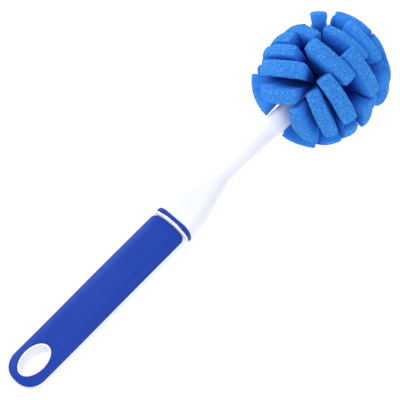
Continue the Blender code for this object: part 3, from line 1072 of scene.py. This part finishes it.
@dataclass
class GripPad(SubAssembly):
    """The blue pad: a sloped border, a crease, and a plateau that fades towards the hole.

    The pad stands in from the body's side by margin, over the deck and round the hole's rim by foot,
    and behind the collar by front_foot.
    """

    form: HandleForm
    margin: float = 0.0003
    corner: float = 0.0040
    bow: float = 0.0007
    border: float = 0.0043
    border_fullness: float = 1.60
    side_height: float = 0.0010
    crease_width: float = 0.0006
    crown_rise: float = 0.0002
    crown_inset: float = 0.0030
    foot: float = 0.00006
    front_foot: float = 0.00010
    foot_edge: float = 0.00008
    foot_steps: int = 3
    border_steps: int = 14
    crease_steps: int = 5
    crown_steps: int = 6
    node = "grip_pad"
    slot = Slot.RUBBER

    def shape(self, axis: BrushAxis) -> bpy.types.Object:
        """Shape the pad, with its pocket over the spine and its opening round the rim.

        Args:
            axis: The brush axis.

        Returns:
            The piece, not yet dressed.
        """
        form = self.form
        pad = Shell().loft(self._rings(), ladder=True).place("grip_cover", axis)
        carve(pad, form.keel(form.fit_gap).place("pocket_cutter", axis), Carving.CUT)
        column = [form.hole_ring(form.rim_wall + self.foot, height)
                  for height in (0.0, form.grip_thickness)]
        carve(pad, Shell().loft(column).place("rim_cutter", axis), Carving.CUT)
        return pad

    def _rings(self) -> list[Ring]:
        """Draw the pad.

        Returns:
            Its rings, from its foot, up its side and over its border to the crown.
        """
        form = self.form
        rings = []
        for sine, cosine in quarter(self.foot_steps):
            rings.append(self._ring(form.parting_height, self.foot_edge * (1 - sine),
                                    lift=self.foot + self.foot_edge * (1 - cosine)))
        side_top = form.parting_height + self.side_height
        for sine, cosine in quarter(self.border_steps):
            rings.append(self._ring(blend(side_top, form.pad_top, sine ** self.border_fullness),
                                    self.border * (1 - cosine ** self.border_fullness)))
        for share in shares(self.crease_steps):
            rings.append(self._ring(form.pad_top, self.border + self.crease_width * share,
                                    rise=form.plateau_rise * smooth_step(share)))
        crown_start = self.border + self.crease_width
        crown_end = self.border + self.crown_inset
        for share in shares(self.crown_steps):
            rings.append(self._ring(form.pad_top, blend(crown_start, crown_end, share),
                                    rise=form.plateau_rise + self.crown_rise * (1 - (1 - share) ** 2)))
        return rings

    def _ring(self, height: float, inset: float, lift: float = 0.0, rise: float = 0.0) -> Ring:
        """Return the pad's outline at a height, drawn in from its foot by an inset."""
        front = self.form.deck_reach + self.front_foot + inset + self.form.bowed(0.0)
        return self.form.outline(height, self.margin + inset, front, self.bow, self.corner, lift, rise)


@dataclass
class RingBand(SubAssembly):
    """The thin blue band round the joint between neck and body."""

    form: HandleForm
    proud: float = 0.0002
    edge: float = 0.0003
    edge_steps: int = 4
    node = "ring_band"
    slot = Slot.RUBBER

    def shape(self, axis: BrushAxis) -> bpy.types.Object:
        """Shape the band, bowed as the joint is.

        Args:
            axis: The brush axis.

        Returns:
            The piece, not yet dressed.
        """
        form = self.form
        near = form.ring_reach
        far = near + form.ring_width
        rings = []
        for side, inward in ((near, 1), (far, -1)):
            for sine, cosine in quarter(self.edge_steps)[::inward]:
                rings.append(self._section(side + inward * self.edge * (1 - cosine),
                                           self.proud - self.edge * (1 - sine)))
        rings += [form.spigot(far, form.fit_gap), form.spigot(near, form.fit_gap)]
        for ring in rings:
            for point in ring:
                point.x -= form.bowed(point.y)
        return Shell().tube(rings).place("ring_cover", axis)

    def _section(self, reach: float, proud: float) -> Ring:
        """Draw the band's outer section.

        Args:
            reach: Where the section lies.
            proud: How far it stands out past the grip.

        Returns:
            The ring of points.
        """
        form = self.form
        return section_ring(reach, form.half_width + proud, form.half_thickness + proud,
                            form.grip_corner + proud)


@dataclass(frozen=True)
class FinPose:
    """How one fin stands: angles in degrees, and the rest as shares of a full fin's."""

    lean: float
    turn: float
    twist: float
    reach: float
    width: float
    thickness: float
    cup: float

    def frame(self) -> tuple[Vector, Vector, Vector]:
        """Work out how the fin faces.

        Returns:
            Its outward, sideways and tailward directions.
        """
        outward = direction(self.lean, self.turn)
        sideways = direction(0.0, self.turn + 90)
        turning = Matrix.Rotation(math.radians(-self.twist), 3, outward)
        return outward, turning @ sideways, turning @ sideways.cross(outward)


@dataclass(frozen=True)
class BallForm:
    """The sizes and the fins' poses that the foam discs share, with angles in degrees.

    The discs lean as a fan whose pitch is fan_pitch. A fin that the table leaves out strays from its
    place by no more than the stray sizes, and narrows where its disc leans far enough to crowd it.
    """

    radius: float = 0.040
    disc_count: int = 8
    fin_count: int = 5
    fan_pitch: float = 17.0
    fan_centre_lean: float = -4.0
    fan_clearance: float = 0.0014
    hub_thickness: float = 0.0027
    hub_radius: float = 0.0085
    hub_gap: float = 0.0003
    bore_radius: float = 0.0038
    fin_half_angle: float = 24.0
    root_half_angle: float = 33.0
    crowd_half_angle: float = 26.0
    full_thickness_share: float = 0.95
    stray_lean_share: float = 0.03
    stray_turn: float = 2.0
    stray_twist: float = 2.0
    stray_reach_share: float = 0.03
    stray_seed: int = 11
    disc_turns: tuple[float, ...] = (-80, -18, -28, 16, 40, 14, 25, -4)
    disc_cup_shares: tuple[float, ...] = (-0.45, 0.1, 0.6, 0.6, 0.6, 0.6, 0.6, 0.6)

    @property
    def hub_pitch(self) -> float:
        """How far apart the hubs lie along the spindle."""
        return self.hub_thickness + self.hub_gap

    @property
    def stack_half(self) -> float:
        """Half the length of the stack of hubs."""
        return (self.disc_count * self.hub_pitch - self.hub_gap) / 2

    @property
    def foam_thickness(self) -> float:
        """The thickness of a fin at its edge."""
        spread = self.radius * math.sin(math.radians(self.fan_pitch / 2))
        return 2 * (spread - self.fan_clearance)

    def place_of(self, disc: int, fin: int) -> float:
        """Return a fin's own turn round the axis."""
        return self.disc_turns[disc] + 360 * fin / self.fin_count

    def poses(self, disc: int) -> list[FinPose]:
        """Work out how a disc's fins stand: as the table gives, or strayed from their places.

        Args:
            disc: The disc, counted from 0 at the tail's side.

        Returns:
            The pose of each fin.
        """
        disc_lean = self.fan_centre_lean + ((self.disc_count - 1) / 2 - disc) * self.fan_pitch
        stray = random.Random(self.stray_seed + disc)
        crowding = math.tan(math.radians(self.crowd_half_angle)) * math.cos(math.radians(disc_lean))
        width_share = min(1.0, math.degrees(math.atan(crowding)) / self.fin_half_angle)
        poses = []
        for fin in range(self.fin_count):
            strayed = (stray.uniform(-self.stray_lean_share, self.stray_lean_share),
                       stray.uniform(-self.stray_turn, self.stray_turn),
                       stray.uniform(-self.stray_twist, self.stray_twist),
                       1 - stray.uniform(0.0, self.stray_reach_share), width_share, 1.0)
            lean_share, turn, *rest = FIN_POSE_SHARES.get((disc, fin), strayed)
            poses.append(FinPose(disc_lean + lean_share * self.fan_pitch,
                                 self.place_of(disc, fin) + turn, *rest, self.disc_cup_shares[disc]))
        return poses


@dataclass
class Neck(SubAssembly):
    """The white neck in one piece: spindle, flange, stem, waist, shoulder and spigot."""

    form: HandleForm
    ball: BallForm
    flange_thickness: float = 0.0016
    flange_diameter: float = 0.0110
    spindle_diameter: float = 0.0070
    root_diameter: float = 0.0086
    root_taper_end: float = 0.0340
    stem_diameter: float = 0.0126
    waist_reach: float = 0.0799
    waist_diameter: float = 0.0087
    bore_diameter: float = 0.0040
    bore_depth: float = 0.0120
    bore_overrun: float = 0.0012
    edge: float = 0.0003
    stem_shares: tuple[Span, ...] = (
        (0.0, 0.0), (0.10, 0.08), (0.30, 0.10), (0.50, 0.28), (0.72, 0.37), (0.84, 0.52),
        (0.95, 0.95), (1.0, 1.0),
    )
    shoulder_shares: tuple[Span, ...] = (
        (0.00, 0.00), (0.12, 0.06), (0.23, 0.23), (0.39, 0.45), (0.53, 0.70), (0.66, 0.85),
        (0.76, 0.93), (0.88, 0.98), (1.00, 1.00),
    )
    root_rings: int = 8
    stem_rings: int = 40
    shoulder_rings: int = 56
    edge_steps: int = 3
    node = "neck_shaft"
    slot = Slot.WHITE

    def shape(self, axis: BrushAxis) -> bpy.types.Object:
        """Shape the neck, with the plug's bore in its spindle.

        Args:
            axis: The brush axis.

        Returns:
            The piece, not yet dressed.
        """
        neck = Shell().loft(self._rings()).place("neck_stem", axis)
        mouth = -self.ball.stack_half
        bore = [round_ring(mouth - self.bore_overrun, self.bore_diameter),
                round_ring(mouth + self.bore_depth, self.bore_diameter)]
        carve(neck, Shell().loft(bore).place("bore_cutter", axis), Carving.CUT)
        return neck

    def _profile(self) -> list[Span]:
        """Draw the round length of the neck.

        Returns:
            Pairs of reach and diameter, from the spindle's end to the waist.
        """
        tip = self.form.fit_gap - self.ball.stack_half
        flange_reach = self.ball.stack_half + self.form.fit_gap
        stem_reach = flange_reach + self.flange_thickness
        profile = [(tip, self.spindle_diameter - 2 * self.edge),
                   (tip + self.edge, self.spindle_diameter),
                   (flange_reach, self.spindle_diameter),
                   (flange_reach, self.flange_diameter),
                   (stem_reach, self.flange_diameter),
                   (stem_reach, self.root_diameter)]
        for share in shares(self.root_rings):
            profile.append((blend(stem_reach, self.root_taper_end, share),
                            blend(self.root_diameter, self.stem_diameter, smooth_step(share))))
        for share in reversed(shares(self.stem_rings)):
            profile.append((blend(self.waist_reach, self.ball.radius, share),
                            blend(self.waist_diameter, self.stem_diameter,
                                  monotone_curve(self.stem_shares, share))))
        return profile

    def _rings(self) -> list[Ring]:
        """Draw the neck.

        Returns:
            Its rings, from the spindle's end to the spigot's end.
        """
        form = self.form
        rings = [round_ring(reach, diameter) for reach, diameter in self._profile()]
        neck_end = form.neck_end + form.joint_close
        last = neck_end - self.edge
        for share in [0.0] + shares(self.shoulder_rings):
            rings.append(self._shoulder(blend(self.waist_reach, last, share),
                                        monotone_curve(self.shoulder_shares, share), 0.0))
        for sine, cosine in quarter(self.edge_steps)[1:]:
            rings.append(self._shoulder(last + self.edge * sine, 1.0, self.edge * (1 - cosine)))
        rings.append(form.spigot(neck_end, 0.0))
        for ring in rings:
            for point in ring:
                bowing = smooth_step((-point.x - neck_end) / form.joint_fade + 1)
                point.x -= form.bowed(point.y, bowing)
        rings.append(form.spigot(form.spigot_end, 0.0))
        return rings

    def _shoulder(self, reach: float, share: float, inset: float) -> Ring:
        """Return points round the shoulder, which turns from round to the grip's own section.

        Args:
            reach: Where the section lies.
            share: How far it has turned.
            inset: How far it is drawn in.

        Returns:
            The ring of points.
        """
        form = self.form
        half_thickness = blend(self.waist_diameter / 2, form.half_thickness, share)
        return section_ring(reach, blend(self.waist_diameter / 2, form.half_width, share) - inset,
                            half_thickness - inset,
                            blend(half_thickness, form.grip_corner, share ** 3) - inset)


@dataclass
class EndPlug(SubAssembly):
    """The white plug whose shank sits in the spindle and whose head holds the discs on."""

    form: HandleForm
    ball: BallForm
    head_diameter: float = 0.0160
    head_thickness: float = 0.0030
    head_edge: float = 0.0010
    head_edge_steps: int = 6
    heel_edge: float = 0.00025
    dimple_diameter: float = 0.0040
    dimple_depth: float = 0.0005
    dimple_shares: tuple[Span, ...] = ((1.0, 0.10), (1.0, 0.35), (0.4, 0.45), (0.0, 0.55), (0.0, 0.60))
    shank_diameter: float = 0.0034
    shank_length: float = 0.0120
    node = "end_plug"
    slot = Slot.WHITE

    def shape(self, axis: BrushAxis) -> bpy.types.Object:
        """Shape the plug, turned round the axis.

        Args:
            axis: The brush axis.

        Returns:
            The piece, not yet dressed.
        """
        seat = -self.ball.stack_half - self.form.fit_gap
        crown = seat - self.head_thickness
        head_radius = self.head_diameter / 2
        shank_end = seat + self.shank_length
        point_length = self.head_edge / 3
        point_radius = self.shank_diameter / 3
        profile = [(crown + self.dimple_depth * deep, self.dimple_diameter * wide)
                   for deep, wide in self.dimple_shares]
        for sine, cosine in quarter(self.head_edge_steps):
            profile.append((crown + self.head_edge * (1 - cosine),
                            head_radius - self.head_edge * (1 - sine)))
        profile += [(seat - self.heel_edge, head_radius),
                    (seat, head_radius - self.heel_edge),
                    (seat, self.shank_diameter / 2),
                    (shank_end - point_length, self.shank_diameter / 2),
                    (shank_end, point_radius)]
        rings = [round_ring(reach, 2 * radius) for reach, radius in profile]
        return Shell().loft(rings).place("end_stud", axis)


@dataclass
class FoamDisc(SubAssembly):
    """One die-cut foam disc: a squeezed hub and five swelling fins with soft edges.

    A vertex counts as on a cut face as it turns outward through cut_facing, and the painted shade of the
    gaps fades off it as it lies further out through the given shares of the ball's radius.
    """

    disc: int
    form: BallForm
    columns: int = 16
    rows: int = 14
    rim_steps: int = 6
    voxel: float = 0.00050
    soften_rounds: int = 5
    soften_factor: float = 0.5
    swell: float = 0.00030
    swell_fullness: int = 4
    rim_swell: float = 0.0007
    wave_scale: float = 110.0
    wave_depth: float = 0.00030
    crumb_scale: float = 650.0
    crumb_depth: float = 0.00020
    cut_facing: Span = (0.30, 0.70)
    # Painted shade: the shade painted in the gaps fades out over these shares of the ball's radius.
    gap_shade_fade_shares: Span = (0.60, 0.94)
    fill: float = 0.7
    slot = Slot.FOAM

    @property
    def node(self) -> str:
        """The node that the disc replaces."""
        return "foam_disc_%d" % (self.disc + 1)

    @property
    def across_shares(self) -> list[float]:
        """The places across a fin, from -1 to 1."""
        return [2 * column / self.columns - 1 for column in range(self.columns + 1)]

    def shape(self, axis: BrushAxis) -> bpy.types.Object:
        """Shape the disc, with softened edges and a rough skin.

        Args:
            axis: The brush axis.

        Returns:
            The piece, not yet dressed.
        """
        piece = self._shell().place("foam_%d" % (self.disc + 1), axis)
        remesh = piece.modifiers.new("even_mesh", "REMESH")
        remesh.mode = "VOXEL"
        remesh.voxel_size = self.voxel
        soften = piece.modifiers.new("soft_edges", "SMOOTH")
        soften.factor = self.soften_factor
        soften.iterations = self.soften_rounds
        bake_modifiers(piece)
        self._mark_faces(piece.data, axis)
        self._roughen(piece.data)
        piece.data.shade_smooth()
        return piece

    def dress(self, piece: bpy.types.Object, finish: bpy.types.Material) -> None:
        """Dress the disc as any piece."""
        super().dress(piece, finish)

    def _shell(self) -> Shell:
        """Join the hub and the fins.

        Returns:
            The disc's closed shell.
        """
        form = self.form
        shell = Shell()
        hub_x = (self.disc - (form.disc_count - 1) / 2) * form.hub_pitch
        near_rim, far_rim, turns, gaps = [], [], [], []
        for fin, pose in enumerate(form.poses(self.disc)):
            root_turn = form.place_of(self.disc, fin)
            near_rows, far_rows = self._fin_rows(shell.mesh, hub_x, root_turn, pose)
            self._fill_fin(shell.mesh, near_rows, far_rows, pose)
            near_rim += near_rows[0]
            far_rim += far_rows[0]
            gaps.append(len(near_rim) - 1)
            turns += [root_turn + across * form.root_half_angle for across in self.across_shares]
        bores = []
        for side in (-1, 1):
            bore = [direction(0.0, turn) * form.bore_radius for turn in turns]
            for point in bore:
                point.x = hub_x + side * form.hub_thickness / 2
            bores += shell.rows([bore])
        shell.skin([near_rim, *bores, far_rim])
        for place in gaps:
            after = (place + 1) % len(near_rim)
            shell.mesh.faces.new((near_rim[place], near_rim[after], far_rim[after], far_rim[place]))
        return shell

    def _fin_rows(self, mesh: bmesh.types.BMesh, hub_x: float, root_turn: float,
                  pose: FinPose) -> tuple[list[Row], list[Row]]:
        """Make the vertices of one fin, in rows from its root to its edge, on both of its faces.

        Args:
            mesh: The mesh that takes the vertices.
            hub_x: Where the disc's hub lies along the axis.
            root_turn: The turn at which the fin leaves the hub.
            pose: How the fin stands.

        Returns:
            The rows of the face towards the tail, and of the other face.
        """
        form = self.form
        outward, sideways, facing = pose.frame()
        axis = Vector((-1, 0, 0))
        half_angle = math.radians(form.fin_half_angle * pose.width)
        bend = math.tan(math.radians(pose.lean)) * pose.cup * math.cos(math.radians(pose.twist))
        near_rows, far_rows = [], []
        for row in range(self.rows + 1):
            share = row / self.rows
            filled = min(share / form.full_thickness_share, 1.0)
            flat = blend(form.hub_thickness, form.foam_thickness * pose.thickness, filled)
            face = axis.lerp(facing, share).normalized()
            near_row, far_row = [], []
            for across in self.across_shares:
                root = direction(0.0, root_turn + across * form.root_half_angle) * form.hub_radius
                root.x = hub_x
                angle = across * half_angle
                edge = outward * math.cos(angle) + sideways * math.sin(angle)
                edge = (edge + facing * bend * (1 - math.cos(angle))).normalized()
                middle = root.lerp(edge * form.radius * pose.reach, share)
                swelling = self.swell * share * (1 - across ** self.swell_fullness)
                near_row.append(mesh.verts.new(middle + face * (flat / 2 + swelling)))
                far_row.append(mesh.verts.new(middle - face * (flat / 2 + swelling)))
            near_rows.append(near_row)
            far_rows.append(far_row)
        return near_rows, far_rows

    def _fill_fin(self, mesh: bmesh.types.BMesh, near_rows: list[Row], far_rows: list[Row],
                  pose: FinPose) -> None:
        """Fill a fin's two faces, and round its two sides and its outer edge with a bulging band.

        Args:
            mesh: The mesh that takes the faces.
            near_rows: The vertices of the face towards the tail.
            far_rows: The vertices of the other face.
            pose: How the fin stands.
        """
        for rows in (near_rows, far_rows):
            for inner, outer in zip(rows, rows[1:]):
                for column in range(self.columns):
                    mesh.faces.new((inner[column], inner[column + 1], outer[column + 1],
                                    outer[column]))
        near_edge, far_edge = self._free_edge(near_rows), self._free_edge(far_rows)
        middle = pose.frame()[0] * self.form.radius * pose.reach / 2
        bands = [near_edge]
        for share in shares(self.rim_steps)[:-1]:
            bulge = self.rim_swell * arch(share)
            band = []
            for place, (near, far) in enumerate(zip(near_edge, far_edge)):
                point = near.co.lerp(far.co, share)
                fade = min(place, len(near_edge) - 1 - place) / self.rows
                outward = (point - middle).normalized() * bulge * min(fade, 1.0)
                band.append(mesh.verts.new(point + outward))
            bands.append(band)
        bands.append(far_edge)
        for band, after in zip(bands, bands[1:]):
            for place in range(len(band) - 1):
                mesh.faces.new((band[place], band[place + 1], after[place + 1], after[place]))
        for row in (0, -1):
            mesh.faces.new([band[row] for band in bands])

    @staticmethod
    def _free_edge(rows: list[Row]) -> Row:
        """Return a face's free edge: up one side, across the outer edge and down the other side."""
        return [row[0] for row in rows] + rows[-1][1:-1] + [row[-1] for row in reversed(rows)]

    def _mark_faces(self, data: bpy.types.Mesh, axis: BrushAxis) -> None:
        """Note at each vertex how far it belongs to a cut face, and how far out of the ball it is, which
        fades out the painted shade of the gaps.

        Args:
            data: The disc's mesh.
            axis: The brush axis, which starts at the ball's centre.
        """
        places, normals = read_vertices(data)
        outward = places - np.array(axis.matrix.translation)
        reach = np.linalg.norm(outward, axis=1)
        facing = np.sum(outward * normals, axis=1) / reach
        marks = ((FoamFinish.cut_attribute, facing, self.cut_facing),
                 (FoamFinish.shade_fade_attribute, reach / self.form.radius, self.gap_shade_fade_shares))
        for name, values, (low, high) in marks:
            made = data.attributes.new(name, "FLOAT", "POINT")
            made.data.foreach_set("value", smooth_step((values - low) / (high - low)).astype(np.float32))

    def _roughen(self, data: bpy.types.Mesh) -> None:
        """Move each vertex along its normal by waves and crumbs, and lay the foam on the floor.

        Args:
            data: The disc's mesh.
        """
        places, normals = read_vertices(data)
        shift = Vector((self.disc, 0.0, 0.0))
        moves = np.empty(len(places), np.float32)
        for index, place in enumerate(places):
            point = Vector(place)
            wave = noise.noise(point * self.wave_scale + shift)
            crumb = noise.noise(point * self.crumb_scale + shift)
            moves[index] = wave * self.wave_depth + crumb * self.crumb_depth
        moved = places + normals * moves[:, None]
        moved[:, 2] = np.maximum(moved[:, 2], 0.0)
        data.vertices.foreach_set("co", moved.ravel())
        data.update()


@dataclass(frozen=True)
class SoftLamp:
    """A square soft light, with its side in metres and its power in watts."""

    name: str
    place: Triple
    side: float
    power: float


@dataclass(frozen=True)
class Studio:
    """The pale floor, the soft lights and the camera."""

    camera_place: Triple = (-0.35463, -0.34137, 0.88038)
    camera_target: Triple = (0.00689, 0.00338, 0.01441)
    camera_roll: float = 0.19
    lens: float = 156.2
    sensor_width: float = 36.0
    clip: Span = (0.05, 20.0)
    floor_size: float = 6.0
    floor_colour: Triple = (0.08, 0.08, 0.08)
    floor_roughness: float = 0.9
    floor_specular: float = 0.1
    floor_light: Triple = (1.0, 1.0, 1.0)
    floor_glow: float = 1.03
    world_colour: Triple = (0.95, 0.97, 1.0)
    world_strength: float = 0.79
    lamps: tuple[SoftLamp, ...] = (
        SoftLamp("key", (-0.73, 1.57, 1.84), 1.0, 19.0),
        SoftLamp("front", (-0.35, -1.30, 1.80), 1.4, 10.0),
        SoftLamp("left", (0.50, 2.00, 0.40), 0.9, 9.0),
    )

    def build(self) -> None:
        """Make the floor, camera, world and lights."""
        self._floor()
        self._camera()
        self._world()
        for lamp in self.lamps:
            self._light(lamp)
        view = bpy.context.scene.view_settings
        view.view_transform = "Standard"
        view.look = "None"

    def _floor(self) -> None:
        """Lay a flat sheet under the object, whose own glow keeps it pale."""
        mesh = bmesh.new()
        bmesh.ops.create_grid(mesh, x_segments=2, y_segments=2, size=self.floor_size / 2)
        data = bpy.data.meshes.new("floor")
        mesh.to_mesh(data)
        mesh.free()
        sheet = NodeSheet("floor_paper")
        sheet.set(Base_Color=self.floor_colour, Roughness=self.floor_roughness,
                  Specular_IOR_Level=self.floor_specular, Emission_Color=self.floor_light,
                  Emission_Strength=self.floor_glow)
        data.materials.append(sheet.material)
        add_object("floor", data)

    def _camera(self) -> None:
        """Place the camera at the photograph's viewing angle."""
        data = bpy.data.cameras.new("camera")
        data.lens = self.lens
        data.sensor_width = self.sensor_width
        data.clip_start, data.clip_end = self.clip
        bpy.context.scene.camera = self._hang("camera", data, self.camera_place, self.camera_roll)

    def _world(self) -> None:
        """Surround the object with an even pale light."""
        world = bpy.data.worlds.new("studio_air")
        world.use_nodes = True
        background = world.node_tree.nodes["Background"]
        background.inputs["Color"].default_value = (*self.world_colour, 1.0)
        background.inputs["Strength"].default_value = self.world_strength
        bpy.context.scene.world = world

    def _light(self, lamp: SoftLamp) -> None:
        """Hang a soft light.

        Args:
            lamp: The light.
        """
        data = bpy.data.lights.new(lamp.name, "AREA")
        data.shape = "SQUARE"
        data.size = lamp.side
        data.energy = lamp.power
        self._hang(lamp.name, data, lamp.place)

    def _hang(self, name: str, data: bpy.types.ID, place: Triple, roll: float = 0.0) -> bpy.types.Object:
        """Put a camera or a light in its place, facing the camera's target.

        Args:
            name: The object's name.
            data: The camera or the light.
            place: Where it goes.
            roll: How far it is turned about its line of sight, in degrees.

        Returns:
            The new object.
        """
        made = add_object(name, data)
        made.location = place
        made.rotation_mode = "QUATERNION"
        aim = Vector(self.camera_target) - Vector(place)
        rolled = Quaternion((0.0, 0.0, 1.0), math.radians(roll))
        made.rotation_quaternion = aim.to_track_quat("-Z", "Y") @ rolled
        return made


def main() -> None:
    """Build every sub-assembly in order and report each piece."""
    logging.basicConfig(level=logging.INFO, format="%(name)s %(message)s")
    form = HandleForm()
    ball = BallForm()
    mount_reach = form.collar_reach + form.grip_length / 2
    axis = BrushAxis.from_record(frame["record"], mount_reach, form.half_thickness)
    finishes = {
        Slot.WHITE: WhitePlasticFinish().make(),
        Slot.RUBBER: RubberFinish().make(),
        Slot.FOAM: FoamFinish().make(),
    }
    Studio().build()
    brush = [HandleBody(form), GripPad(form), RingBand(form), Neck(form, ball), EndPlug(form, ball)]
    brush += [FoamDisc(disc, ball) for disc in range(ball.disc_count)]
    for assembly in brush:
        piece = assembly.build(axis, finishes[assembly.slot])
        LOG.info("%s: %d faces", piece.name, len(piece.data.polygons))


if __name__ == "__main__":
    main()
